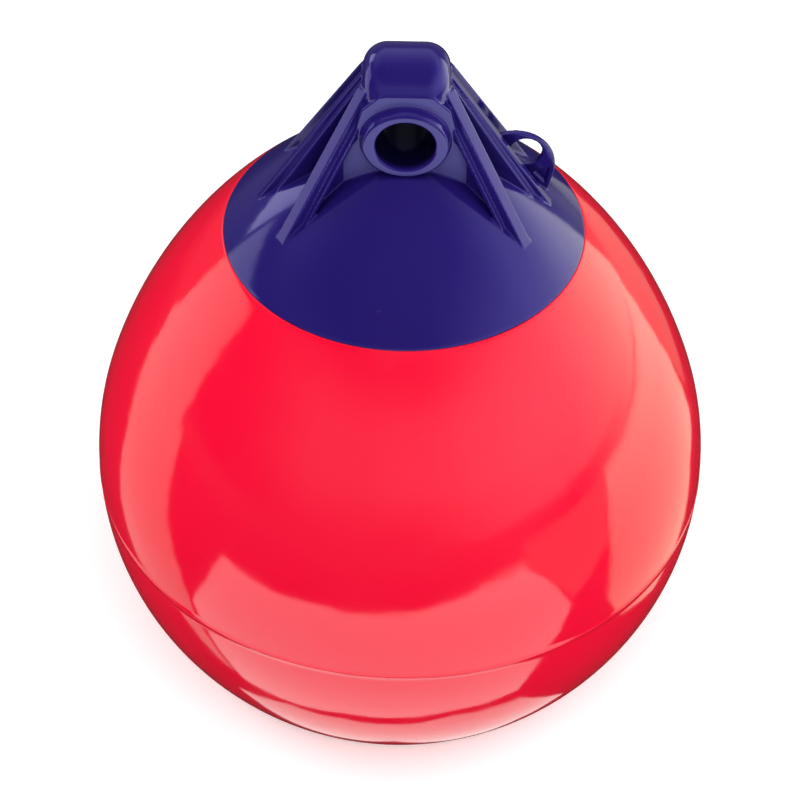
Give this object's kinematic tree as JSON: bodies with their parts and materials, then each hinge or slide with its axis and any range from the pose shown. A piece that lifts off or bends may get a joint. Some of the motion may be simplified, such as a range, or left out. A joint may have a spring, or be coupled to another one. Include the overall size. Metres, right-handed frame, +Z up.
{
  "type": "inflatable anchor buoy",
  "caption": "Teardrop inflatable vinyl buoy with a moulded rope-hold head, finned tower with a rope eye, a small lanyard eyelet and a slotted air valve.",
  "frame": {"origin": "on the buoy's axis at its waterline", "axes": "+Z up along the buoy's axis, +Y along the rope eye, +X towards the small eyelet"},
  "size_m": [0.2806, 0.2806, 0.3692],
  "materials": {
    "red_vinyl": "smooth gloss vinyl",
    "blue_vinyl": "smooth gloss vinyl",
    "valve_plastic": "moulded plastic",
    "screw_plastic": "moulded plastic"
  },
  "bodies": {
    "root": {"body": "red_vinyl", "head": "blue_vinyl", "valve_seat": "valve_plastic", "valve_screw": "screw_plastic"}
  },
  "joints": []
}
